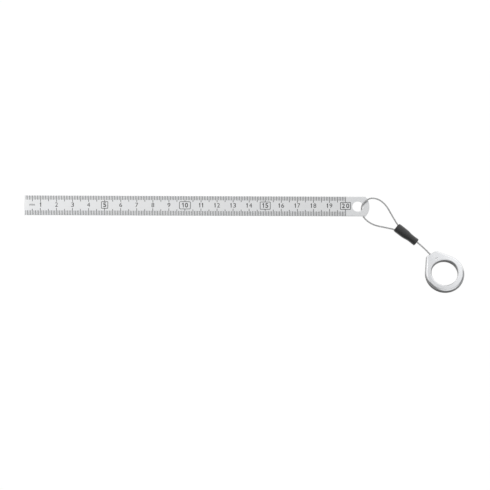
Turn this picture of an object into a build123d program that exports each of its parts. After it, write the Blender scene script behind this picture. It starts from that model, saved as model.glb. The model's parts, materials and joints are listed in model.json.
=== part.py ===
from build123d import *
import math
import os

# A flexible steel ruler with a 200 mm scale, its wire tether and its drop-shaped ring.
# Millimetres. +X runs along the blade from its zero end, +Y across it, +Z up.
# The origin lies on the surface that the ruler rests on, under the middle of the zero edge.

# Blade: one thin strip of spring steel, square at zero, rounded and holed at the far end.
BLADE_LENGTH = 214.9
BLADE_WIDTH = 13.0
BLADE_THICKNESS = 0.5
BLADE_END_RADIUS = 10.0
HOLE_X = 207.6
HOLE_RADIUS = 3.4
EDGE_BREAK = 0.06
# The wire passes under the blade beside the hole, and props that end up by this much.
BLADE_LIFT = 1.18

# Tether wire: one length of thin wire rope.
WIRE_RADIUS = 0.5

# Sleeve: shrunk onto the crimp. Its axis starts in the middle of its open mouth.
SLEEVE_MOUTH = (231.72, -13.93)
SLEEVE_HEADING = -39.1
SLEEVE_AXIS_HEIGHT = 2.15
SLEEVE_LENGTH = 15.6
SLEEVE_SHOULDER = 7.05
SLEEVE_NECK = 10.15
WIDE_HALF_WIDTH = 2.98
WIDE_HALF_HEIGHT = 2.15
NECK_HALF_WIDTH = 2.42
NECK_HALF_HEIGHT = 2.0
SLEEVE_WALL = 0.42

# Ferrule: an oval barrel crimped onto the two strands, hidden in the sleeve's wide part.
STRAND_OFFSET = 0.6
FERRULE_START = 2.4
FERRULE_LENGTH = 4.6
FERRULE_GAP = 0.03
FERRULE_ROUNDING = 0.45
DEAD_END = 8.9
NECK_POINT = 14.1

# Ring: a drop with a bore, and a tab that points back at the wire.
RING_CENTRE = (261.2, -44.43)
RING_LEAN = (0.066, 0.025)
RING_TAB_HEADING = 122.8
RING_BORE_RADIUS = 8.2
RING_RADIUS = 12.2
RING_OFFSET = 0.15
RING_THICKNESS = 4.0
# The top face falls away a little from the bore, and ends in a wide round.
FACE_FALL = 4.0
FACE_ROUNDING = 1.4
UNDER_ROUNDING = 0.9
BORE_ROUNDING = 0.75
TAB_REACH = 15.0
TAB_HALF_WIDTH = 3.9
TAB_END_ROUNDING = 0.3
# The wire enters the tab's end a little to one side of its middle, and slants across it.
WIRE_HOLE_SIDE = 0.6
WIRE_HOLE_SLANT = 10.0
WIRE_HOLE_DEPTH = 4.8
WIRE_HOLE_RADIUS = 0.58
PUNCH_PLACE = (10.4, -0.85)
PUNCH_BALL_RADIUS = 1.9
PUNCH_DEPTH = 0.25

# The tilt of the blade, which rests on its zero edge and on the wire.
BLADE_SLOPE = math.degrees(math.atan2(BLADE_LIFT, HOLE_X))


def sleeve_section(distance, side=0.0):
    """The plane square to the sleeve's axis, this far from its mouth and to its left."""
    turn = math.radians(SLEEVE_HEADING)
    along = Vector(math.cos(turn), math.sin(turn), 0)
    left = Vector(-math.sin(turn), math.cos(turn), 0)
    mouth = Vector(SLEEVE_MOUTH[0], SLEEVE_MOUTH[1], SLEEVE_AXIS_HEIGHT)
    return Plane(origin=mouth + along * distance + left * side, x_dir=left, z_dir=along)


def ring_plane():
    """The ring's middle plane: its origin is on the bore's axis, and its X points to the tab.

    The ring leans a little, and lies on the rim that this brings down."""
    lean = math.hypot(*RING_LEAN)
    upright = math.sqrt(1 - lean**2)
    normal = Vector(RING_LEAN[0], RING_LEAN[1], upright)
    heading = math.radians(RING_TAB_HEADING)
    level = Vector(math.cos(heading), math.sin(heading), 0)
    to_tab = (level - normal * level.dot(normal)).normalized()
    straight = RING_THICKNESS / 2 - UNDER_ROUNDING
    rim_drop = straight * upright + (RING_RADIUS - UNDER_ROUNDING) * lean + UNDER_ROUNDING
    height = rim_drop + RING_OFFSET * to_tab.Z
    return Plane(origin=(*RING_CENTRE, height), x_dir=to_tab, z_dir=normal)


def wire_hole_point(depth):
    """A point on the axis of the tab's wire hole, this deep, in the ring's own directions."""
    slant = math.radians(WIRE_HOLE_SLANT)
    reach = TAB_REACH - depth * math.cos(slant)
    return Vector(reach, WIRE_HOLE_SIDE - depth * math.sin(slant), 0)


def make_blade():
    half = BLADE_WIDTH / 2
    arc_centre = BLADE_LENGTH - BLADE_END_RADIUS
    shoulder = arc_centre + math.sqrt(BLADE_END_RADIUS**2 - half**2)
    with BuildPart() as blade:
        with BuildSketch():
            with BuildLine():
                Polyline((shoulder, -half), (0, -half), (0, half), (shoulder, half))
                ThreePointArc((shoulder, half), (BLADE_LENGTH, 0), (shoulder, -half))
            make_face()
            with Locations((HOLE_X, 0)):
                Circle(HOLE_RADIUS, mode=Mode.SUBTRACT)
        extrude(amount=BLADE_THICKNESS)
        rims = blade.edges().group_by(Axis.Z)[0] + blade.edges().group_by(Axis.Z)[-1]
        zero_end = blade.edges().filter_by(Axis.Y)
        chamfer([rim for rim in rims if rim not in zero_end], EDGE_BREAK)
    return Rotation(0, -BLADE_SLOPE, 0) * blade.part


def wire_route():
    """Corners of the wire's route: dead end, under the blade, up through the hole, ring."""
    tab = ring_plane()
    return [
        sleeve_section(DEAD_END, -STRAND_OFFSET).origin,
        sleeve_section(FERRULE_START, -STRAND_OFFSET).origin,
        Vector(223.9, -13.5, 1.1),
        Vector(217.8, -12.0, 0.55),
        Vector(213.2, -9.1, 0.5),
        Vector(210.5, -5.6, 0.5),
        Vector(209.8, -1.6, 0.5),
        Vector(210.4, 1.0, 2.5),
        Vector(212.4, 3.3, 2.5),
        Vector(215.0, 5.15, 2.55),
        Vector(218.4, 5.2, 2.6),
        Vector(222.0, 3.65, 2.6),
        Vector(225.65, 0.05, 2.6),
        Vector(228.95, -6.4, 2.4),
        sleeve_section(FERRULE_START, STRAND_OFFSET).origin,
        sleeve_section(NECK_POINT, STRAND_OFFSET).origin,
        Vector(249.05, -28.15, 2.7),
        tab.from_local_coords(wire_hole_point(-0.9)),
        tab.from_local_coords(wire_hole_point(WIRE_HOLE_DEPTH)),
    ]


def corner_radii(corners):
    """At each corner, 0.45 of the shorter run divided by the tangent of half the turn."""
    radii = []
    for before, corner, after in zip(corners, corners[1:], corners[2:]):
        shorter = min((corner - before).length, (after - corner).length)
        half_turn = math.radians((corner - before).get_angle(after - corner)) / 2
        radii.append(0.45 * shorter / math.tan(half_turn))
    return radii


def make_wire():
    corners = wire_route()
    radii = corner_radii(corners)
    path = FilletPolyline(*corners, radius=radii)
    section = Plane(origin=path @ 0, z_dir=path % 0) * Circle(WIRE_RADIUS)
    wire = sweep(section, path=path)
    expected = math.pi * WIRE_RADIUS**2 * path.length
    print("wire bend radii", [round(radius, 1) for radius in radii])
    print("wire length", round(path.length, 2))
    print("wire volume", round(wire.volume, 3), "section x length", round(expected, 3))
    return wire


def make_ferrule(wire):
    """The barrel's bores are the wire's own shape, because it is pressed onto the strands."""
    grip = SLEEVE_WALL + FERRULE_GAP
    outline = Ellipse(WIDE_HALF_WIDTH - grip, WIDE_HALF_HEIGHT - grip)
    barrel = extrude(sleeve_section(FERRULE_START) * outline, FERRULE_LENGTH)
    ends = barrel.faces().filter_by(GeomType.PLANE)
    return fillet(ends.edges(), FERRULE_ROUNDING) - wire


def sleeve_body(wall):
    """The sleeve's wide part, taper and neck, all this much smaller than its outside."""
    wide = Ellipse(WIDE_HALF_WIDTH - wall, WIDE_HALF_HEIGHT - wall)
    neck = Ellipse(NECK_HALF_WIDTH - wall, NECK_HALF_HEIGHT - wall)
    return loft(
        [
            sleeve_section(0) * wide,
            sleeve_section(SLEEVE_SHOULDER) * wide,
            sleeve_section(SLEEVE_NECK) * neck,
            sleeve_section(SLEEVE_LENGTH) * neck,
        ],
        ruled=True,
    )


def make_sleeve():
    return sleeve_body(0) - sleeve_body(SLEEVE_WALL)


def drop_outline():
    """A circle and its two tangents, which would meet beyond the tab's flat end."""
    centre_to_corner = Vector(TAB_REACH + RING_OFFSET, TAB_HALF_WIDTH, 0)
    corner_angle = math.atan2(centre_to_corner.Y, centre_to_corner.X)
    tangent_angle = corner_angle + math.acos(RING_RADIUS / centre_to_corner.length)
    touch_x = RING_RADIUS * math.cos(tangent_angle) - RING_OFFSET
    touch_y = RING_RADIUS * math.sin(tangent_angle)
    slope = (touch_y - TAB_HALF_WIDTH) / (TAB_REACH - touch_x)
    tip_x = TAB_REACH + 2
    tip_y = TAB_HALF_WIDTH - slope * 2
    far_side = (-RING_RADIUS - RING_OFFSET, 0)
    with BuildSketch() as drop:
        with BuildLine():
            ThreePointArc((touch_x, touch_y), far_side, (touch_x, -touch_y))
            Polyline((touch_x, -touch_y), (tip_x, -tip_y), (tip_x, tip_y), (touch_x, touch_y))
        make_face()
    return drop.sketch


def face_height(distance):
    """Height of the ring's top face above its middle plane, this far from the bore's axis."""
    fall = math.tan(math.radians(FACE_FALL))
    return RING_THICKNESS / 2 - fall * (distance - RING_BORE_RADIUS)


def space_above_face():
    """The top face is a very shallow cone, and this is everything above it."""
    far = TAB_REACH + 5
    top = RING_THICKNESS
    corners = [(0, face_height(0)), (far, face_height(far)), (far, top), (0, top)]
    section = Plane.XZ * make_face(Polyline(*corners, close=True))
    return Pos(-RING_OFFSET, 0, 0) * revolve(section, Axis.Z)


def make_ring():
    above_face = space_above_face()
    with BuildPart() as ring:
        add(Pos(0, 0, -RING_THICKNESS / 2) * drop_outline())
        extrude(amount=RING_THICKNESS + 1)
        add(above_face, mode=Mode.SUBTRACT)
        face = ring.faces().filter_by(GeomType.CONE)[0]
        underside = ring.faces().sort_by(Axis.Z)[0]
        face_rim = face.edges().sort_by(Axis.X)[:-1]
        under_rim = underside.edges().sort_by(Axis.X)[:-1]
        fillet(face_rim, FACE_ROUNDING)
        fillet(under_rim, UNDER_ROUNDING)
        split(bisect_by=Plane.YZ.offset(TAB_REACH), keep=Keep.BOTTOM)
        fillet(ring.faces().sort_by(Axis.X)[-1].edges(), TAB_END_ROUNDING)
        Cylinder(RING_BORE_RADIUS, RING_THICKNESS * 2, mode=Mode.SUBTRACT)
        walls = ring.faces().filter_by(GeomType.CYLINDER)
        bore = [wall for wall in walls if abs(wall.radius - RING_BORE_RADIUS) < 0.01]
        fillet(bore[0].edges().filter_by(GeomType.LINE, reverse=True), BORE_ROUNDING)
        outside = wire_hole_point(-1)
        bottom = wire_hole_point(WIRE_HOLE_DEPTH)
        with Locations(Plane(origin=(outside + bottom) * 0.5, z_dir=outside - bottom)):
            Cylinder(WIRE_HOLE_RADIUS, (outside - bottom).length, mode=Mode.SUBTRACT)
        ball_height = face_height(math.hypot(*PUNCH_PLACE)) - PUNCH_DEPTH + PUNCH_BALL_RADIUS
        with Locations((PUNCH_PLACE[0], PUNCH_PLACE[1], ball_height)):
            Sphere(PUNCH_BALL_RADIUS, mode=Mode.SUBTRACT)
    return ring_plane().location * ring.part


def main():
    wire = make_wire()
    parts = {
        "ruler_blade": make_blade(),
        "tether_wire": wire,
        "crimp_ferrule": make_ferrule(wire),
        "shrink_sleeve": make_sleeve(),
        "tether_ring": make_ring(),
    }
    os.makedirs("parts", exist_ok=True)
    for name, part in parts.items():
        export_step(part, f"parts/{name}.step")
        print(name, "volume", round(part.volume, 2), "valid", part.is_valid)


main()
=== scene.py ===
# %% [markdown]
# # A flexible steel ruler on a wire tether
#
# The real object is five pieces: a thin blade of spring steel with a printed millimetre
# scale, a wire rope looped through the blade's hang hole, a crimped ferrule that closes the
# loop, a black shrink sleeve over it, and a polished ring at the end of the wire.
# The CAD frame holds their true sizes and places. This script gives each piece its surface:
# numpy works out the shapes, and shader nodes make the finishes.

# %% The frame
import json
import math

import bmesh
import bpy
import numpy as np
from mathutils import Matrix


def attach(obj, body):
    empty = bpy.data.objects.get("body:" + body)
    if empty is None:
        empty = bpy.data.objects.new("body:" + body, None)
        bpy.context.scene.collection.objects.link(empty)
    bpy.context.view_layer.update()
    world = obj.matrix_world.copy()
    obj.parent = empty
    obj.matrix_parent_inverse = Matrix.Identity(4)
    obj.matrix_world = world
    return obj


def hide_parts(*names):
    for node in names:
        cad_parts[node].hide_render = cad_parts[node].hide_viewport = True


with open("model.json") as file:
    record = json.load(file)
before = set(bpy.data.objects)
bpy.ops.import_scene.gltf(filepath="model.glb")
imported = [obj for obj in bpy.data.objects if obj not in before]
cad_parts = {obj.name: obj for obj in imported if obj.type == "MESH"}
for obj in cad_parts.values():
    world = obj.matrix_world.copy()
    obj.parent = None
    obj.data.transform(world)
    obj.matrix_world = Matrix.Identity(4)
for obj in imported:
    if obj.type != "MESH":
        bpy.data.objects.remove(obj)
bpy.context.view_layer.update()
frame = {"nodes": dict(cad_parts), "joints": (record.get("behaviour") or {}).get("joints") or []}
MM = 0.001

# %% [markdown]
# ## Helpers for meshes
#
# Most new shapes here are grids of points: rows run one way over the surface and columns
# the other. Blender wants a list of points and a list of faces, so one helper turns a grid
# into four-cornered faces and another puts both into a mesh. Points are worked out in
# millimetres, because that is how a ruler is measured, and become metres at the end.


# %% Grid and mesh helpers
def grid_faces(rows, columns, wrap_rows=False, wrap_columns=False, first=0):
    """Faces between neighbouring rows and columns.

    A wrapped direction joins its last to its first."""
    i = np.arange(rows if wrap_rows else rows - 1)[:, None]
    j = np.arange(columns if wrap_columns else columns - 1)[None, :]
    row = i * columns
    next_row = (i + 1) % rows * columns
    next_j = (j + 1) % columns
    corners = [row + j, row + next_j, next_row + next_j, next_row + j]
    return first + np.stack(corners, axis=-1).reshape(-1, 4)


def join(parts):
    """Several sets of points and faces as one."""
    points, faces, first = [], [], 0
    for part_points, part_faces in parts:
        points.append(part_points)
        faces += [[first + int(corner) for corner in face] for face in part_faces]
        first += len(part_points)
    return np.concatenate(points), faces


def link_object(name, data):
    """A new object in the scene that holds this mesh, camera or lamp."""
    thing = bpy.data.objects.new(name, data)
    bpy.context.scene.collection.objects.link(thing)
    return thing


def new_piece(name, points, faces, sharp_degrees=180.0, merge=0.0):
    """A mesh object at the origin, from points in mm.

    With a merge distance, points that coincide become one and the faces turn outwards."""
    mesh = bpy.data.meshes.new(name)
    corners = [list(map(int, face)) for face in faces]
    mesh.from_pydata((np.asarray(points) * MM).tolist(), [], corners)
    if merge:
        work = bmesh.new()
        work.from_mesh(mesh)
        bmesh.ops.remove_doubles(work, verts=work.verts, dist=merge * MM)
        bmesh.ops.recalc_face_normals(work, faces=work.faces)
        work.to_mesh(mesh)
        work.free()
    mesh.shade_smooth()
    if sharp_degrees < 180:
        mesh.set_sharp_from_angle(angle=math.radians(sharp_degrees))
    print(name, len(mesh.vertices), "points", len(mesh.polygons), "faces")
    return link_object(name, mesh)


def stand(thing, right, up, back, place):
    """Puts a camera or a lamp at a place in mm. It looks away from its own back."""
    matrix = np.eye(4)
    matrix[:3] = np.column_stack([right, up, back, np.array(place) * MM])
    thing.matrix_world = matrix.T.tolist()


# %% [markdown]
# ## Helpers for materials
#
# A material is a small network. `add` makes a node, sets its options and fills its inputs
# with values or with the output of another node, so that a network reads from top to bottom.
# The helpers after it are the steps that come back in most materials.

# %% Node helpers
# In a colour mix, these sockets hold the factor, the two colours and the result.
MIX_FACTOR, MIX_LOW, MIX_HIGH, MIX_RESULT = 0, 6, 7, 2


def add(tree, kind, inputs=None, **options):
    """A node with these options set. Each input is a value, or the output that feeds it."""
    node = tree.nodes.new(kind)
    for option, value in options.items():
        setattr(node, option, value)
    for socket, value in (inputs or {}).items():
        if isinstance(value, bpy.types.NodeSocket):
            tree.links.new(value, node.inputs[socket])
        else:
            node.inputs[socket].default_value = value
    return node


def maths(tree, operation, *values):
    """One operation on one or two numbers, such as ADD or ABSOLUTE."""
    inputs = dict(enumerate(values))
    return add(tree, "ShaderNodeMath", inputs, operation=operation).outputs[0]


def ramp(tree, value, low, high):
    """A mask that is 0 where the value is low or less, and 1 where it is high or more."""
    spread = {"Value": value, "From Min": low, "From Max": high}
    return add(tree, "ShaderNodeMapRange", spread).outputs["Result"]


def blend_numbers(tree, mask, low, high):
    """Where the mask is 0 the result is low, and where it is 1 the result is high."""
    spread = {"Value": mask, "To Min": low, "To Max": high}
    return add(tree, "ShaderNodeMapRange", spread).outputs["Result"]


def blend_colours(tree, mask, low, high):
    """Where the mask is 0 the colour is low, and where it is 1 the colour is high."""
    inputs = {MIX_FACTOR: mask, MIX_LOW: low, MIX_HIGH: high}
    return add(tree, "ShaderNodeMix", inputs, data_type="RGBA").outputs[MIX_RESULT]


def new_group(name, inputs, outputs):
    """An empty node group with named number, vector or colour sockets."""
    group = bpy.data.node_groups.new(name, "ShaderNodeTree")
    for socket, kind, value in inputs:
        made = group.interface.new_socket(socket, in_out="INPUT", socket_type=kind)
        if value is not None:
            made.default_value = value
    for socket, kind in outputs:
        group.interface.new_socket(socket, in_out="OUTPUT", socket_type=kind)
    return group, group.nodes.new("NodeGroupInput"), group.nodes.new("NodeGroupOutput")


def new_material(name, **shader):
    """A Principled material. The keyword values are set on the shader's own sockets."""
    material = bpy.data.materials.new(name)
    material.use_nodes = True
    tree = material.node_tree
    principled = tree.nodes["Principled BSDF"]
    for socket, value in shader.items():
        principled.inputs[socket.replace("_", " ")].default_value = value
    return material, tree, principled


def feed(tree, shader, **sources):
    """Links each source to the shader's socket of that name."""
    for socket, source in sources.items():
        tree.links.new(source, shader.inputs[socket.replace("_", " ")])


def object_place(tree):
    """Where a point is on the piece itself, so that a pattern moves with the piece."""
    return add(tree, "ShaderNodeTexCoord").outputs["Object"]


def grey(value):
    return (value, value, value, 1.0)


# %% [markdown]
# ## Camera
#
# The photograph looks down on the ruler from in front, 70 degrees above the table, with a
# long lens and the picture turned by a third of a degree. The numbers come from the printed
# scale: twenty marks with known places fix the lens, the aim and the roll.

# %% Camera
CAMERA_AIM = (137.55, -25.37, 0.0)
CAMERA_DISTANCE = 3000.0
CAMERA_ELEVATION = math.radians(70.0)
CAMERA_ROLL = math.radians(0.345)
CAMERA_LENS = 354.87
# In metres. The camera sees nothing that is farther away.
FARTHEST_SEEN = 20.0


def place_camera():
    """The camera looks ahead and down at its aim, and is then rolled about that line."""
    ahead = np.array([0.0, math.cos(CAMERA_ELEVATION), -math.sin(CAMERA_ELEVATION)])
    level = np.array([1.0, 0.0, 0.0])
    upward = np.cross(level, ahead)
    right = level * math.cos(CAMERA_ROLL) + upward * math.sin(CAMERA_ROLL)
    up = upward * math.cos(CAMERA_ROLL) - level * math.sin(CAMERA_ROLL)
    data = bpy.data.cameras.new("camera")
    data.lens = CAMERA_LENS
    data.clip_end = FARTHEST_SEEN
    camera = link_object("camera", data)
    stand(camera, right, up, -ahead, np.array(CAMERA_AIM) - ahead * CAMERA_DISTANCE)
    bpy.context.scene.camera = camera


place_camera()
print("camera", CAMERA_LENS, "mm lens at", CAMERA_DISTANCE, "mm")

# %% [markdown]
# ## The wire rope
#
# A tether like this is a rope of nineteen fine steel wires: one in the middle, six round it
# and twelve round those, the layers laid in opposite directions. It looks almost smooth. The
# rope starts at its dead end, just past the ferrule in the sleeve. It leaves the sleeve,
# passes under the blade, comes up through the hang hole, goes back over the blade's end,
# through the sleeve and into the ring. It could be one plain tube with a pattern, but only
# real strands catch the light as a rope does. Its centre line is a smooth spline led by a
# few given control points, and each strand is a tube that winds round that line. It is one
# fixed length.

# %% Wire route
ROUTE = [
    (238.248, -20.009, 2.15),
    (233.204, -15.909, 2.15),
    (223.9, -13.5, 1.1),
    (217.8, -12.0, 0.55),
    (213.2, -9.1, 0.5),
    (210.5, -5.6, 0.5),
    (209.8, -1.6, 0.5),
    (210.4, 1.0, 2.5),
    (212.4, 3.3, 2.5),
    (215.0, 5.15, 2.55),
    (218.4, 5.2, 2.6),
    (222.0, 3.65, 2.6),
    (225.65, 0.05, 2.6),
    (228.95, -6.4, 2.4),
    (233.961, -14.978, 2.15),
    (243.041, -22.357, 2.15),
    (249.05, -28.15, 2.7),
    (251.975, -31.478, 3.083),
    (255.84, -35.664, 2.932),
]
SPLINE_STEPS = 40
POINT_SPACING = 0.3


def spline_points(route, steps):
    """Points of the smooth curve whose control points are the route, in mm."""
    curve = bpy.data.curves.new("route", "CURVE")
    curve.dimensions = "3D"
    curve.resolution_u = steps
    spline = curve.splines.new("NURBS")
    spline.points.add(len(route) - 1)
    controls = np.column_stack([np.array(route) * MM, np.ones(len(route))])
    spline.points.foreach_set("co", controls.ravel())
    spline.order_u = 3
    spline.use_endpoint_u = True
    holder = bpy.data.objects.new("route", curve)
    line = bpy.data.meshes.new_from_object(holder)
    points = np.empty(len(line.vertices) * 3)
    line.vertices.foreach_get("co", points)
    bpy.data.objects.remove(holder)
    bpy.data.meshes.remove(line)
    bpy.data.curves.remove(curve)
    return points.reshape(-1, 3) / MM


def even_points(points, spacing):
    """The same line with its points an even distance apart, and how far along each is."""
    steps = np.linalg.norm(np.diff(points, axis=0), axis=1)
    travelled = np.concatenate([[0.0], np.cumsum(steps)])
    count = int(round(travelled[-1] / spacing)) + 1
    wanted = np.linspace(0.0, travelled[-1], count)
    even = [np.interp(wanted, travelled, points[:, k]) for k in range(3)]
    return np.column_stack(even), wanted


centre_line, travelled = even_points(spline_points(ROUTE, SPLINE_STEPS), POINT_SPACING)
print("wire centre line", round(float(travelled[-1]), 1), "mm,", len(centre_line), "points")

# %% Wire strands
STRAND_RADIUS = 0.1
STRAND_SIDES = 6
# For each layer: its number of strands, their distance from the middle, and the length in
# which they go round once. A negative length turns the other way.
ROPE_LAYERS = [(1, 0.0, 9.0), (6, 0.2, -6.0), (12, 0.4, 9.0)]


def frames_along(line):
    """For each point: the way ahead, the way level to the left, and the way up from both."""
    ahead = np.gradient(line, axis=0)
    ahead /= np.linalg.norm(ahead, axis=1)[:, None]
    left = np.cross((0.0, 0.0, 1.0), ahead)
    left /= np.linalg.norm(left, axis=1)[:, None]
    return ahead, left, np.cross(ahead, left)


def tube(line, radius, sides):
    """A circle of that radius carried along the line, closed by a point at each end."""
    _, left, up = frames_along(line)
    turn = np.linspace(0, 2 * np.pi, sides, endpoint=False)[None, :, None]
    walls = line[:, None] + radius * (left[:, None] * np.cos(turn) + up[:, None] * np.sin(turn))
    points = np.concatenate([walls.reshape(-1, 3), line[:1], line[-1:]])
    faces = grid_faces(len(line), sides, wrap_columns=True).tolist()
    start, end, last_row = len(points) - 2, len(points) - 1, (len(line) - 1) * sides
    faces += [[start, (k + 1) % sides, k] for k in range(sides)]
    faces += [[end, last_row + k, last_row + (k + 1) % sides] for k in range(sides)]
    return points, faces


def rope(line, distance):
    """Each strand's own line circles the rope's line once in its layer's lay length."""
    _, left, up = frames_along(line)
    strands = []
    for count, reach, lay in ROPE_LAYERS:
        for strand in range(count):
            turn = (2 * np.pi * (distance / lay + strand / count))[:, None]
            strand_line = line + reach * (left * np.cos(turn) + up * np.sin(turn))
            strands.append(tube(strand_line, STRAND_RADIUS, STRAND_SIDES))
    return join(strands)


wire = new_piece("tether_wire_rope", *rope(centre_line, travelled))

# %% [markdown]
# ## The blade
#
# The blade is a strip 0.5 mm thick with one rounded end and a hole. The CAD solid has those
# sizes, but its round edges are cut into few facets, so the blade is worked out again with a
# fine outline. Its faces are a plain grid as far as the hole, and round the hole they are
# rays from the hole's rim to the blade's edge. The edges are broken by a tiny round.

# %% Blade sizes
BLADE_LENGTH = 214.9
BLADE_HALF_WIDTH = 6.5
BLADE_THICKNESS = 0.5
BLADE_END_RADIUS = 10.0
HOLE_X = 207.6
HOLE_RADIUS = 3.4
EDGE_ROUND = 0.06
# The cut is where the plain grid ends and the rays round the hole begin.
CUT_X = 198.0
STRIP_STEPS = 66
WIDTH_STEPS = 28
END_EDGE_STEPS = 24
ARC_STEPS = 48
# A ray's points crowd towards the hole by this power.
RAY_POINTS = 9
RAY_CROWDING = 1.5
# Two faces that meet at more than this many degrees keep a crisp edge between them.
CRISP = 20

# The tether's hinge stands square to the blade, so its axis gives the blade's slope.
swing = frame["joints"][0]
BLADE_NORMAL = np.array(swing["axis"])
SLOPE = math.atan2(-BLADE_NORMAL[0], BLADE_NORMAL[2])


def on_blade(points):
    """Turns flat blade points about the zero edge by the slope at which the CAD solid lies."""
    points = np.asarray(points, dtype=float)
    x, y, z = points[..., 0], points[..., 1], points[..., 2]
    ahead = x * math.cos(SLOPE) - z * math.sin(SLOPE)
    height = x * math.sin(SLOPE) + z * math.cos(SLOPE)
    return np.stack([ahead, y, height], axis=-1)


def at_height(flat, height):
    """Flat points, given as x and y, with the same height for all."""
    return np.column_stack([flat, np.full(len(flat), height)])


print("blade slope", round(math.degrees(SLOPE), 3), "degrees")


# %% Blade surface
def blade_loops(inset):
    """What a loop this far inside the blade's outline is made of, in blade points.

    The x places of the strip's points from zero to the cut, the strip's half-width, and the
    rest of the edge: from the cut along the lower edge, round the arc and back to the cut."""
    half = BLADE_HALF_WIDTH - inset
    radius = BLADE_END_RADIUS - inset
    arc_x = BLADE_LENGTH - BLADE_END_RADIUS
    shoulder = math.asin(half / radius)
    shoulder_x = arc_x + radius * math.cos(shoulder)
    strip_x = np.linspace(inset, CUT_X, STRIP_STEPS + 1)
    edge_x = np.linspace(CUT_X, shoulder_x, END_EDGE_STEPS + 1)
    turn = np.linspace(-shoulder, shoulder, ARC_STEPS + 1)[1:-1]
    arc = np.column_stack([arc_x + radius * np.cos(turn), radius * np.sin(turn)])
    lower = np.column_stack([edge_x, np.full_like(edge_x, -half)])
    upper = lower[::-1] * [1, -1]
    return strip_x, half, np.concatenate([lower, arc, upper])


def around_hole(end_edge, half):
    """The loop that the rays from the hole end on: the edge, and then the cut, downwards."""
    cut_y = np.linspace(half, -half, WIDTH_STEPS + 1)[1:-1]
    cut = np.column_stack([np.full_like(cut_y, CUT_X), cut_y])
    return np.concatenate([end_edge, cut])


def hole_rim(outer, inset):
    """For each point of the loop, the point of the hole's rim in the same direction."""
    toward = outer - [HOLE_X, 0]
    distance = np.linalg.norm(toward, axis=1)[:, None]
    return [HOLE_X, 0] + toward / distance * (HOLE_RADIUS + inset)


def blade_face(inset):
    """The flat face at that inset: its points, and its faces seen from above."""
    strip_x, half, end_edge = blade_loops(inset)
    strip_y = np.linspace(-half, half, WIDTH_STEPS + 1)
    strip = np.stack(np.meshgrid(strip_x, strip_y, indexing="ij"), axis=-1).reshape(-1, 2)
    outer = around_hole(end_edge, half)
    rim = hole_rim(outer, inset)
    share = np.linspace(0, 1, RAY_POINTS)[:, None, None] ** RAY_CROWDING
    rays = (rim + (outer - rim) * share).reshape(-1, 2)
    faces = grid_faces(len(strip_x), WIDTH_STEPS + 1)[:, ::-1].tolist()
    faces += grid_faces(len(share), len(outer), wrap_columns=True, first=len(strip)).tolist()
    return np.concatenate([strip, rays]), faces


def edge_profile():
    """Inset and height down the blade's edge: a quarter round, the wall, a quarter round."""
    turn = np.radians([0, 30, 60, 90])
    inset = EDGE_ROUND * (1 - np.sin(turn))
    drop = EDGE_ROUND * (1 - np.cos(turn))
    top = np.column_stack([inset, BLADE_THICKNESS - drop])
    bottom = np.column_stack([inset[::-1], drop[::-1]])
    return np.concatenate([top, bottom])


def blade_surface():
    """Both faces, and the edge's profile carried round the outline and round the hole."""
    flat, flat_faces = blade_face(EDGE_ROUND)
    points = [at_height(flat, BLADE_THICKNESS), at_height(flat, 0.0)]
    faces = flat_faces + (np.array(flat_faces)[:, ::-1] + len(flat)).tolist()
    outline_rows, hole_rows = [], []
    for inset, height in edge_profile():
        strip_x, half, end_edge = blade_loops(inset)
        lower = np.column_stack([strip_x[:-1], np.full(len(strip_x) - 1, -half)])
        across = np.linspace(half, -half, WIDTH_STEPS + 1)[1:-1]
        zero = np.column_stack([np.full_like(across, inset), across])
        outline = np.concatenate([lower, end_edge, lower[::-1] * [1, -1], zero])
        rim = hole_rim(around_hole(end_edge, half), inset)
        outline_rows.append(at_height(outline, height))
        hole_rows.append(at_height(rim, height))
    for rows in (outline_rows, hole_rows):
        first = sum(len(p) for p in points)
        faces += grid_faces(len(rows), len(rows[0]), wrap_columns=True, first=first).tolist()
        points.append(np.concatenate(rows))
    return on_blade(np.concatenate(points)), faces


blade = new_piece("ruler_blade_strip", *blade_surface(), sharp_degrees=CRISP, merge=0.001)

# %% [markdown]
# ## The printed scale
#
# On a steel rule the graduations are etched and filled with black, or printed. They could be
# a picture laid on the blade, but a picture blurs when it is seen from near. Here each mark
# is a very thin plate of dark ink that stands a hundredth of a millimetre proud, so that it
# is a real shape in any view. Marks repeat, so a formula makes them: one per millimetre
# along both edges, longer at 5 and at 10, and a number at each centimetre.

# %% Marks
INK_HEIGHT = 0.012
INK_ROOT = 0.02
TICK_COUNT = 200
TICK_WIDTH = 0.34
LONG_TICK_WIDTH = 0.35
# Where an edge's marks start, and the lengths of its millimetre, five and ten marks.
UPPER_TICKS = {"start": 6.42, "mm": 2.7, "five": 3.8, "ten": 4.05}
LOWER_TICKS = {"start": -6.42, "mm": 3.0, "five": 4.0, "ten": 4.6}
# For each boxed centimetre: the box's half-width, half-height and corner radius.
BOXES = {
    5: (2.15, 2.42, 0.5),
    10: (3.6, 2.58, 0.9),
    15: (3.32, 2.58, 0.5),
    20: (3.32, 2.5, 0.5),
}
BOX_RISE = 0.3
# The six faces of a plate whose first four points are its lower ones, anticlockwise.
PLATE_FACES = np.array(
    [[3, 2, 1, 0], [4, 5, 6, 7], [0, 1, 5, 4], [1, 2, 6, 5], [2, 3, 7, 6], [3, 0, 4, 7]]
)


def plates(low, high):
    """A thin ink plate for each row of low and high corners, which are x and y."""
    corners = []
    for z in (BLADE_THICKNESS - INK_ROOT, BLADE_THICKNESS + INK_HEIGHT):
        for x_side, y_side in ((low, low), (high, low), (high, high), (low, high)):
            flat = np.column_stack([x_side[:, 0], y_side[:, 1]])
            corners.append(at_height(flat, z))
    points = np.stack(corners, axis=1).reshape(-1, 3)
    first = len(corners) * np.arange(len(low))[:, None, None]
    return points, (PLATE_FACES[None] + first).reshape(-1, 4)


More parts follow.
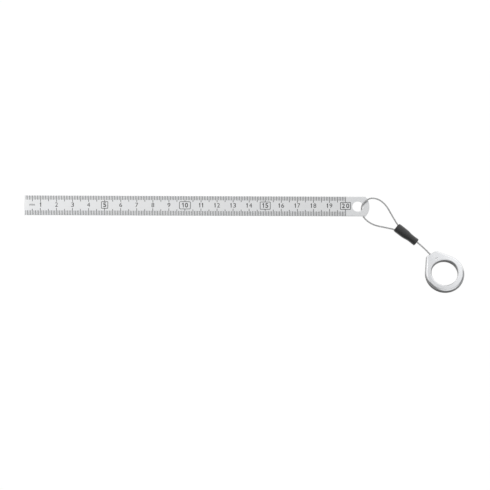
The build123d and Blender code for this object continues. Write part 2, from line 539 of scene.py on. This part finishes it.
def tick_corners(style):
    """Low and high corners of one edge's marks. A box stops the mark that it stands on.

    The first mark is at 1 mm, because zero is the blade's edge itself."""
    place = np.arange(1, TICK_COUNT + 1)
    side = np.sign(style["start"])
    length = np.full(TICK_COUNT, style["mm"])
    length[place % 5 == 0] = style["five"]
    length[place % 10 == 0] = style["ten"]
    inner = abs(style["start"]) - length
    for centimetre, (_, half_height, _) in BOXES.items():
        inner[centimetre * 10 - 1] = half_height + side * BOX_RISE
    width = np.where(place % 5 == 0, LONG_TICK_WIDTH, TICK_WIDTH)
    ends = np.column_stack([side * inner, np.full(TICK_COUNT, style["start"])])
    ends = np.sort(ends, axis=1)
    low = np.column_stack([place - width / 2, ends[:, 0]])
    high = np.column_stack([place + width / 2, ends[:, 1]])
    return low, high


lows, highs = zip(tick_corners(UPPER_TICKS), tick_corners(LOWER_TICKS))
tick_points, tick_faces = plates(np.concatenate(lows), np.concatenate(highs))
ticks = new_piece("scale_ticks", on_blade(tick_points), tick_faces, sharp_degrees=CRISP)

# %% [markdown]
# ## Numbers and their boxes
#
# The numbers stand a little above the middle of the blade, one at each centimetre. Every
# fifth one is larger and sits in a thin box with rounded corners. Blender's own font gives
# plain digits: the text becomes a mesh first, and its points are then scaled and laid on the
# blade. Only the 1 is drawn here, because a rule's 1 is a narrow stem with a short flag. The
# unit mark near zero is made as the digits are.

# %% Numbers
# Digit sizes and gaps in mm. The weight thickens the strokes, in the font's own units.
PLAIN = {"width": 1.75, "one_width": 0.8, "height": 2.9, "gap": 0.95, "weight": 0.0}
BOXED = {"width": 1.9, "one_width": 1.1, "height": 3.05, "gap": 0.8, "weight": 0.015}
NUMBER_RISE = 0.42
# The width of the 1's stem, and the heights of its flag as shares of the whole height.
STEM = 0.48
FLAG_TOP = 0.76
FLAG_FOOT = 0.6
UNIT_WIDTH = 3.3
UNIT_HEIGHT = 1.15
UNIT_PLACE = (3.2, 0.25)
# A glyph reaches this far up and down, only to tell its upper points from its lower ones.
GLYPH_DEPTH = 0.1
# Each curve of a glyph is cut into this many steps.
GLYPH_STEPS = 6


def glyph(words, width, height, weight):
    """A flat word from Blender's font, this wide and high, its lower left corner at 0, 0."""
    curve = bpy.data.curves.new("words", "FONT")
    curve.body = words
    curve.extrude = GLYPH_DEPTH
    curve.offset = weight
    curve.resolution_u = GLYPH_STEPS
    holder = bpy.data.objects.new("words", curve)
    mesh = bpy.data.meshes.new_from_object(holder)
    points = np.empty(len(mesh.vertices) * 3)
    mesh.vertices.foreach_get("co", points)
    points = points.reshape(-1, 3)
    faces = [list(polygon.vertices) for polygon in mesh.polygons]
    bpy.data.objects.remove(holder)
    bpy.data.meshes.remove(mesh)
    bpy.data.curves.remove(curve)
    low, high = points.min(axis=0), points.max(axis=0)
    flat = (points[:, :2] - low[:2]) / (high[:2] - low[:2]) * [width, height]
    level = np.where(points[:, 2] > 0, INK_HEIGHT, -INK_ROOT)
    return np.column_stack([flat, level]), faces


def one(width, height):
    """The figure 1: an upright stem with a flag that slopes down to its left."""
    left = width - STEM
    stem = [(left, 0), (width, 0), (width, height), (left, height)]
    flag = [(0, FLAG_TOP * height), (0, FLAG_FOOT * height), (left, FLAG_TOP * height)]
    outline = np.array(stem + flag)
    count = len(outline)
    points = np.concatenate([at_height(outline, -INK_ROOT), at_height(outline, INK_HEIGHT)])
    around = np.arange(count)
    after = (around + 1) % count
    walls = np.column_stack([around, after, after + count, around + count]).tolist()
    return points, [around[::-1].tolist(), (around + count).tolist()] + walls


def number_text(centimetre):
    """The number's digits side by side, with the middle of the whole at its graduation."""
    style = BOXED if centimetre in BOXES else PLAIN
    height, gap = style["height"], style["gap"]
    digits = str(centimetre)
    widths = [style["one_width"] if digit == "1" else style["width"] for digit in digits]
    left = centimetre * 10.0 - (sum(widths) + gap * (len(digits) - 1)) / 2
    shapes = []
    for digit, width in zip(digits, widths):
        if digit == "1":
            points, faces = one(width, height)
        else:
            points, faces = glyph(digit, width, height, style["weight"])
        shapes.append((points + [left, NUMBER_RISE - height / 2, BLADE_THICKNESS], faces))
        left += width + gap
    return shapes


shapes = [shape for centimetre in range(1, 21) for shape in number_text(centimetre)]
unit_points, unit_faces = glyph("mm", UNIT_WIDTH, UNIT_HEIGHT, 0.0)
unit_corner = [UNIT_PLACE[0], UNIT_PLACE[1] - UNIT_HEIGHT / 2, BLADE_THICKNESS]
shapes.append((unit_points + unit_corner, unit_faces))
number_points, number_faces = join(shapes)
number_points = on_blade(number_points)
numbers = new_piece(
    "scale_numbers", number_points, number_faces, sharp_degrees=CRISP, merge=0.0005
)


# %% Boxes
BOX_LINE = 0.36
CORNER_POINTS = 7


def box_frame(centre_x, half_width, half_height, corner):
    """A rounded rectangle's line, as four loops: outside and inside, at root and on top.

    Each loop is four corner arcs, anticlockwise."""
    turn = np.linspace(0, np.pi / 2, CORNER_POINTS)
    reach = np.array([half_width - corner, half_height - corner])
    outside = ((0, -INK_ROOT), (0, INK_HEIGHT))
    inside = ((BOX_LINE, INK_HEIGHT), (BOX_LINE, -INK_ROOT))
    rows = []
    for inset, z in outside + inside:
        loop = []
        for quarter, sides in enumerate(((1, 1), (-1, 1), (-1, -1), (1, -1))):
            angle = turn + quarter * np.pi / 2
            arc = np.column_stack([np.cos(angle), np.sin(angle)]) * (corner - inset)
            loop.append(arc + reach * sides + [centre_x, BOX_RISE])
        rows.append(at_height(np.concatenate(loop), BLADE_THICKNESS + z))
    faces = grid_faces(len(rows), len(rows[0]), wrap_rows=True, wrap_columns=True)
    return np.concatenate(rows), faces.tolist()


box_points, box_faces = join([box_frame(10.0 * place, *size) for place, size in BOXES.items()])
box_points = on_blade(box_points)
boxes = new_piece("scale_boxes", box_points, box_faces, sharp_degrees=CRISP, merge=0.0005)

# %% [markdown]
# ## The shrink sleeve
#
# Heat-shrink tube is cut from a length, slid over the ferrule and heated until it grips. It
# keeps the ferrule's bulge, narrows past it, and its cut ends stay a little open. It could
# be a plain tube with a bump pattern, but the bulge shows in the outline, so it is real
# shape. One profile, out along the wall and back inside it, is carried round an axis, with
# a half-width and half-height that change along the way.

# %% Sleeve
SLEEVE_MOUTH = np.array([231.72, -13.93, 2.15])
SLEEVE_HEADING = math.radians(-39.1)
SLEEVE_LENGTH = 15.6
SLEEVE_WALL = 0.4
SLEEVE_STATIONS = 90
SLEEVE_SIDES = 72
# Places along the axis from the mouth, and the half-width and half-height at each.
SLEEVE_ALONG = [0.0, 0.9, 2.5, 4.8, 6.6, 8.3, 9.6, 11.2, 13.4, 15.6]
SLEEVE_HALF_WIDTH = [2.88, 3.0, 3.04, 3.04, 2.98, 2.76, 2.54, 2.44, 2.43, 2.45]
SLEEVE_HALF_HEIGHT = [2.05, 2.12, 2.15, 2.15, 2.13, 2.08, 2.02, 1.98, 1.97, 1.99]
# How far each cut end's round lip stands out along the axis.
LIP = 0.12
LIP_POINTS = 7
# For each ripple: its height, its waves round the sleeve, and its turn for each mm along.
RIPPLES = ((0.02, 2, 0.9), (0.012, 5, -1.7))
# Upwards a ripple is only this share as high, and below this sine the underside is even.
RIPPLE_UPWARDS = 0.5
RIPPLE_STOPS = -0.8


def smooth_through(places, values, wanted):
    """A smooth line through the stations.

    It is made of cubic pieces, whose slope at a station follows from its neighbours."""
    places, values = np.array(places), np.array(values)
    slopes = np.gradient(values, places)
    k = np.clip(np.searchsorted(places, wanted, side="right") - 1, 0, len(places) - 2)
    gap = places[k + 1] - places[k]
    t = (wanted - places[k]) / gap
    start, end = values[k], values[k + 1]
    lift = t * (t - 1) ** 2 * gap * slopes[k] + t**2 * (t - 1) * gap * slopes[k + 1]
    return start * (2 * t**3 - 3 * t**2 + 1) + end * (3 * t**2 - 2 * t**3) + lift


def sleeve_profile():
    """Distance along the axis and depth below the outside.

    The profile goes out, round the far lip, back inside, and round the near lip."""
    far = SLEEVE_LENGTH - LIP
    out = np.linspace(LIP, far, SLEEVE_STATIONS)
    turn = np.radians(np.linspace(0, 180, LIP_POINTS))[1:-1]
    lip_depth = SLEEVE_WALL / 2 * (1 - np.cos(turn))
    lip_reach = LIP * np.sin(turn)
    along = np.concatenate([out, far + lip_reach, out[::-1], LIP - lip_reach])
    depth = np.concatenate([0 * out, lip_depth, 0 * out + SLEEVE_WALL, lip_depth[::-1]])
    return along, depth


def sleeve_surface():
    """An oval of changing half-width and half-height along the axis, with slight ripples."""
    along, depth = (values[:, None] for values in sleeve_profile())
    turn = np.linspace(0, 2 * np.pi, SLEEVE_SIDES, endpoint=False)[None, :]
    half_width = smooth_through(SLEEVE_ALONG, SLEEVE_HALF_WIDTH, along)
    half_height = smooth_through(SLEEVE_ALONG, SLEEVE_HALF_HEIGHT, along)
    ripple = sum(high * np.sin(waves * turn + twist * along) for high, waves, twist in RIPPLES)
    ripple = ripple * (np.sin(turn) > RIPPLE_STOPS)
    side = (half_width - depth + ripple) * np.cos(turn)
    up = (half_height - depth + RIPPLE_UPWARDS * ripple) * np.sin(turn)
    axis = np.array([math.cos(SLEEVE_HEADING), math.sin(SLEEVE_HEADING), 0])
    left = np.array([-math.sin(SLEEVE_HEADING), math.cos(SLEEVE_HEADING), 0])
    points = SLEEVE_MOUTH + along[..., None] * axis + side[..., None] * left
    points = points + up[..., None] * np.array([0, 0, 1.0])
    faces = grid_faces(len(along), SLEEVE_SIDES, wrap_rows=True, wrap_columns=True)
    return points.reshape(-1, 3), faces


sleeve = new_piece("shrink_sleeve_skin", *sleeve_surface(), merge=0.0001)

# %% [markdown]
# ## Effects that several finishes share
#
# Two effects come back in most of the materials. A mottle is the slow, cloudy change that
# handling leaves on any surface. Hairlines are fine scratches that run one way. Each is a
# node group that is built once, and every material sets its size and, for hairlines, the
# way they run.


# %% Mottle and hairline groups
def spread_noise(group, vector, scale, detail, low, high):
    """Noise of that size, spread so that its low value becomes 0 and its high one 1."""
    inputs = {"Vector": vector, "Scale": scale, "Detail": detail}
    noise = add(group, "ShaderNodeTexNoise", inputs)
    return ramp(group, noise.outputs["Fac"], low, high)


def make_mottle():
    """Noise at one size, spread to the range 0 to 1."""
    sockets = [("Vector", "NodeSocketVector", None), ("Scale", "NodeSocketFloat", 200.0)]
    group, inputs, outputs = new_group("mottle", sockets, [("Mask", "NodeSocketFloat")])
    vector, scale = inputs.outputs["Vector"], inputs.outputs["Scale"]
    cloud = spread_noise(group, vector, scale, 4.0, 0.3, 0.7)
    group.links.new(cloud, outputs.inputs["Mask"])
    return group


def make_hairlines():
    """Noise stretched along one axis, so that it draws fine parallel lines."""
    sockets = [
        ("Vector", "NodeSocketVector", None),
        ("Stretch", "NodeSocketVector", (1.0, 60.0, 60.0)),
        ("Scale", "NodeSocketFloat", 150.0),
    ]
    group, inputs, outputs = new_group("hairlines", sockets, [("Mask", "NodeSocketFloat")])
    factors = {0: inputs.outputs["Vector"], 1: inputs.outputs["Stretch"]}
    stretched = add(group, "ShaderNodeVectorMath", factors, operation="MULTIPLY")
    vector, scale = stretched.outputs["Vector"], inputs.outputs["Scale"]
    lines = spread_noise(group, vector, scale, 3.0, 0.25, 0.75)
    group.links.new(lines, outputs.inputs["Mask"])
    return group


MOTTLE = make_mottle()
HAIRLINES = make_hairlines()


def mask(tree, group, **inputs):
    """Places a shared group in a material and returns its mask."""
    return add(tree, "ShaderNodeGroup", inputs, node_tree=group).outputs["Mask"]


print("groups", MOTTLE.name, HAIRLINES.name)

# %% [markdown]
# ## Satin steel
#
# The blade's steel is ground along its length and then dulled. It reflects the room as a
# soft bright field, with a grain of hairlines along X and a faint cloudiness. The grain
# could be fine grooves in the mesh, but they are far too small to see singly, so a stretched
# noise moves the colour, the roughness and the bump a little instead.

# %% Blade steel
def make_blade_steel():
    material, tree, shader = new_material("blade_satin_steel", Metallic=1.0)
    place = object_place(tree)
    lines = mask(tree, HAIRLINES, Vector=place, Stretch=(1.0, 40.0, 40.0), Scale=120.0)
    cloud = mask(tree, MOTTLE, Vector=place, Scale=90.0)
    colour = blend_colours(tree, lines, grey(0.77), grey(0.85))
    colour = blend_colours(tree, cloud, colour, (0.80, 0.806, 0.815, 1.0))
    relief = {"Height": lines, "Strength": 0.12, "Distance": 0.00001}
    bump = add(tree, "ShaderNodeBump", relief).outputs["Normal"]
    roughness = blend_numbers(tree, lines, 0.30, 0.42)
    feed(tree, shader, Base_Color=colour, Roughness=roughness, Normal=bump)
    return material


BLADE_STEEL = make_blade_steel()
print("made", BLADE_STEEL.name)

# %% [markdown]
# ## Ink
#
# The marks are a matt dark filling. One flat black would look like a hole in the steel, so
# a fine mottle makes its grey and its roughness vary a little, as wear does.

# %% Ink
def make_ink():
    material, tree, shader = new_material("scale_ink", Metallic=0.0, Specular_IOR_Level=0.2)
    worn = mask(tree, MOTTLE, Vector=object_place(tree), Scale=1500.0)
    colour = blend_colours(tree, worn, grey(0.015), grey(0.035))
    feed(tree, shader, Base_Color=colour, Roughness=blend_numbers(tree, worn, 0.5, 0.65))
    return material


INK = make_ink()
print("made", INK.name)

# %% [markdown]
# ## Bright wire
#
# Stainless strands are bright but small, so their own curve does most of the work, and the
# gaps between them darken by themselves. What is left to the material is a thin, uneven
# film of grease and dirt, which a mottle gives.

# %% Wire steel
def make_wire_steel():
    material, tree, shader = new_material("wire_steel", Metallic=1.0)
    grime = mask(tree, MOTTLE, Vector=object_place(tree), Scale=900.0)
    colour = blend_colours(tree, grime, grey(0.66), grey(0.76))
    feed(tree, shader, Base_Color=colour, Roughness=blend_numbers(tree, grime, 0.6, 0.75))
    return material


WIRE_STEEL = make_wire_steel()
print("made", WIRE_STEEL.name)

# %% [markdown]
# ## Shrink tube
#
# Black polyolefin tube is matt with a soft sheen. Its skin has a fine grain and takes a
# little dust, which shows as a paler cloud. One plain rough gloss could do, but a rough
# coat and some sheen also brighten it where the surface turns away from the eye.

# %% Sleeve plastic
def make_sleeve_plastic():
    skin = {"Specular_IOR_Level": 0.3, "Coat_Weight": 1.0, "Coat_Roughness": 0.4}
    fuzz = {"Sheen_Weight": 0.3, "Sheen_Roughness": 0.5}
    material, tree, shader = new_material("shrink_tube_black", Metallic=0.0, **skin, **fuzz)
    place = object_place(tree)
    dust = mask(tree, MOTTLE, Vector=place, Scale=500.0)
    grain = mask(tree, MOTTLE, Vector=place, Scale=6000.0)
    clean, dusty = (0.006, 0.006, 0.0065, 1.0), (0.011, 0.011, 0.0115, 1.0)
    relief = {"Height": grain, "Strength": 0.1, "Distance": 0.00002}
    bump = add(tree, "ShaderNodeBump", relief).outputs["Normal"]
    colour = blend_colours(tree, dust, clean, dusty)
    roughness = blend_numbers(tree, dust, 0.36, 0.44)
    feed(tree, shader, Base_Color=colour, Roughness=roughness, Normal=bump)
    return material


SLEEVE_PLASTIC = make_sleeve_plastic()
print("made", SLEEVE_PLASTIC.name)

# %% [markdown]
# ## Polished ring and plain ferrule
#
# The ring is polished on its faces and rounded edges. In the photograph its upright walls
# look dark, and darkest at the front, probably because of what they mirror there. A plain
# studio has nothing so dark in it, so part of that tone is put into the walls' own colour:
# one mask tells walls from faces by how level the surface is, another front from back.
# Both read the direction in the room, so the dark side stays at the front when the ring
# turns. The ferrule is plain pressed aluminium, hidden in the sleeve.

# %% Ring chrome
# How level the surface is where the walls' tone ends and where the faces' tone is full.
FACE_FROM, FACE_FULL = 0.35, 0.78
# How far a wall looks backwards where its tone starts and stops changing.
BACK_FROM, BACK_FULL = -0.1, 0.3


def make_ring_chrome():
    material, tree, shader = new_material("ring_polished", Metallic=1.0)
    normal = add(tree, "ShaderNodeNewGeometry").outputs["Normal"]
    facing = add(tree, "ShaderNodeSeparateXYZ", {"Vector": normal}).outputs
    face = ramp(tree, maths(tree, "ABSOLUTE", facing["Z"]), FACE_FROM, FACE_FULL)
    back = ramp(tree, facing["Y"], BACK_FROM, BACK_FULL)
    # Painted reflection: the walls get a dark colour, darkest at the front, in place of the dark
    # room they mirror.
    wall = blend_colours(tree, back, grey(0.045), grey(0.38))
    cloud = mask(tree, MOTTLE, Vector=object_place(tree), Scale=260.0)
    dull, bright = (0.84, 0.845, 0.86, 1.0), (0.90, 0.902, 0.91, 1.0)
    polished = blend_colours(tree, cloud, dull, bright)
    colour = blend_colours(tree, face, wall, polished)
    feed(tree, shader, Base_Color=colour, Roughness=blend_numbers(tree, face, 0.3, 0.18))
    return material


RING_CHROME = make_ring_chrome()
print("made", RING_CHROME.name)


# %% Ferrule aluminium
def make_ferrule_aluminium():
    material, tree, shader = new_material("ferrule_pressed", Metallic=1.0)
    place = object_place(tree)
    lines = mask(tree, HAIRLINES, Vector=place, Stretch=(1.0, 1.0, 20.0), Scale=400.0)
    colour = blend_colours(tree, lines, grey(0.6), grey(0.72))
    feed(tree, shader, Base_Color=colour, Roughness=blend_numbers(tree, lines, 0.35, 0.5))
    return material


FERRULE_ALUMINIUM = make_ferrule_aluminium()
print("made", FERRULE_ALUMINIUM.name)

# %% [markdown]
# ## Putting the pieces on their bodies
#
# The blade and its marks ride on the blade. The wire, the sleeve, the ferrule and the ring
# ride on the tether, which turns about the hang hole. The wire leaves the sleeve's mouth and
# ends in the ring.

# %% Bodies, slots and finishes
ring = frame["nodes"]["tether_ring"]
ferrule = frame["nodes"]["crimp_ferrule"]

for piece, body, slot_name, finish in (
    (blade, "blade", "blade_steel", BLADE_STEEL),
    (ticks, "blade", "blade_steel", INK),
    (numbers, "blade", "blade_steel", INK),
    (boxes, "blade", "blade_steel", INK),
    (wire, "tether", "wire_rope", WIRE_STEEL),
    (sleeve, "tether", "sleeve_black", SLEEVE_PLASTIC),
):
    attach(piece, body)
    piece.data.materials.append(finish)
    print(piece.name, "rides on", body)

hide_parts("ruler_blade")
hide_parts("tether_wire")
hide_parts("shrink_sleeve")
ring.material_slots[0].material = RING_CHROME
ferrule.material_slots[0].material = FERRULE_ALUMINIUM

# %% [markdown]
# ## Floor, world and lamps
#
# The photograph is a product picture on white with hardly a shadow. The floor is white and
# keeps a faint shadow: what the camera sees of it is mostly a plain white, with a share of
# real light in it. The world is a soft studio that is brightest overhead and behind, with a
# panel on the right and one in front on the right, which the polished ring shows as soft
# fields. A wide lamp at the upper left makes the blade's left end brighter and gives the
# wire's small shadow on it. A lamp low at the back right lights the far side of each piece.

# %% Floor
FLOOR_SIZE = 6000.0
# How much of what is seen of the floor is plain white, and how bright that white is.
FLOOR_WHITE = 0.94
FLOOR_GLOW = 1.04
# The floor lies this far below zero, in metres, so that nothing lies exactly in it.
FLOOR_DROP = 0.00001


def make_floor():
    half = FLOOR_SIZE / 2
    corners = [(-half, -half, 0), (half, -half, 0), (half, half, 0), (-half, half, 0)]
    floor = new_piece("floor", corners, [(0, 1, 2, 3)])
    paint = {"Base_Color": grey(0.95), "Roughness": 1.0, "Specular_IOR_Level": 0.0}
    material, tree, shader = new_material("floor_white", **paint)
    path = add(tree, "ShaderNodeLightPath").outputs
    seen = maths(tree, "MAXIMUM", path["Is Camera Ray"], path["Is Glossy Ray"])
    seen = maths(tree, "MAXIMUM", seen, path["Is Transmission Ray"])
    share = maths(tree, "MULTIPLY", seen, FLOOR_WHITE)
    white = add(tree, "ShaderNodeEmission", {"Strength": FLOOR_GLOW}).outputs[0]
    parts = {0: share, 1: shader.outputs[0], 2: white}
    mix = add(tree, "ShaderNodeMixShader", parts).outputs[0]
    tree.links.new(mix, tree.nodes["Material Output"].inputs["Surface"])
    floor.data.materials.append(material)
    floor.location.z = -FLOOR_DROP


make_floor()

# %% World and lamps
# Each glow has a side that it is brightest on. Its edges are the dot products of a direction
# with that side where it starts and where it is full, and its levels are its brightness there.
DOME = {"side": (-0.05, 0.56, 0.82), "edges": (0.76, 0.985), "levels": (0.22, 0.69)}
RIGHT_PANEL = {"side": (0.40, 0.40, 0.82), "edges": (0.89, 1.0), "levels": (0.0, 0.4)}
FRONT_PANEL = {"side": (0.35, -0.55, 0.76), "edges": (0.72, 0.95), "levels": (0.0, 0.7)}
WORLD_TINT = (0.985, 0.993, 1.0, 1.0)
# Places, aims and sizes are in mm, and power is in watts.
KEY_LAMP = {
    "place": (-560.0, 560.0, 800.0),
    "aim": (150.0, 0.0, 0.0),
    "size": 1700.0,
    "power": 4.4,
}
BACK_LAMP = {
    "place": (864.0, 940.0, 360.0),
    "aim": (240.0, -20.0, 0.0),
    "size": 1200.0,
    "power": 3.0,
}
# A lamp's sides are squared from this. A round lamp may lie anyhow, so any direction that
# no lamp faces would do.
ACROSS_LAMPS = (0.0, 1.0, 0.001)


def glow(tree, toward, side, edges, levels):
    """Brightness that rises smoothly as the direction nears one side of the studio."""
    reach = tuple(np.array(side) / np.linalg.norm(side))
    factors = {0: toward, 1: reach}
    facing = add(tree, "ShaderNodeVectorMath", factors, operation="DOT_PRODUCT")
    spread = {"Value": facing.outputs["Value"], "From Min": edges[0], "From Max": edges[1]}
    spread.update({"To Min": levels[0], "To Max": levels[1]})
    rise = add(tree, "ShaderNodeMapRange", spread, interpolation_type="SMOOTHSTEP")
    return rise.outputs["Result"]


def make_world():
    """A dome that is bright overhead and behind, and two panels, at the right and in front."""
    world = bpy.data.worlds.new("studio")
    bpy.context.scene.world = world
    world.use_nodes = True
    tree = world.node_tree
    toward = add(tree, "ShaderNodeTexCoord").outputs["Generated"]
    dome = glow(tree, toward, **DOME)
    right = glow(tree, toward, **RIGHT_PANEL)
    front = glow(tree, toward, **FRONT_PANEL)
    light = maths(tree, "ADD", maths(tree, "ADD", dome, right), front)
    background = tree.nodes["Background"]
    background.inputs["Color"].default_value = WORLD_TINT
    tree.links.new(light, background.inputs["Strength"])


def make_lamp(name, place, aim, size, power):
    """A round lamp at a place in mm, with its face towards its aim."""
    data = bpy.data.lights.new(name, "AREA")
    data.shape = "DISK"
    data.size = size * MM
    data.energy = power
    back = np.array(place) - np.array(aim)
    back /= np.linalg.norm(back)
    side = np.cross(ACROSS_LAMPS, back)
    side /= np.linalg.norm(side)
    stand(link_object(name, data), side, np.cross(back, side), back, place)
    print("lamp", name, power, "W")


make_world()
make_lamp("key", **KEY_LAMP)
make_lamp("back", **BACK_LAMP)

# %% Finish
bpy.context.scene.view_settings.view_transform = "Standard"
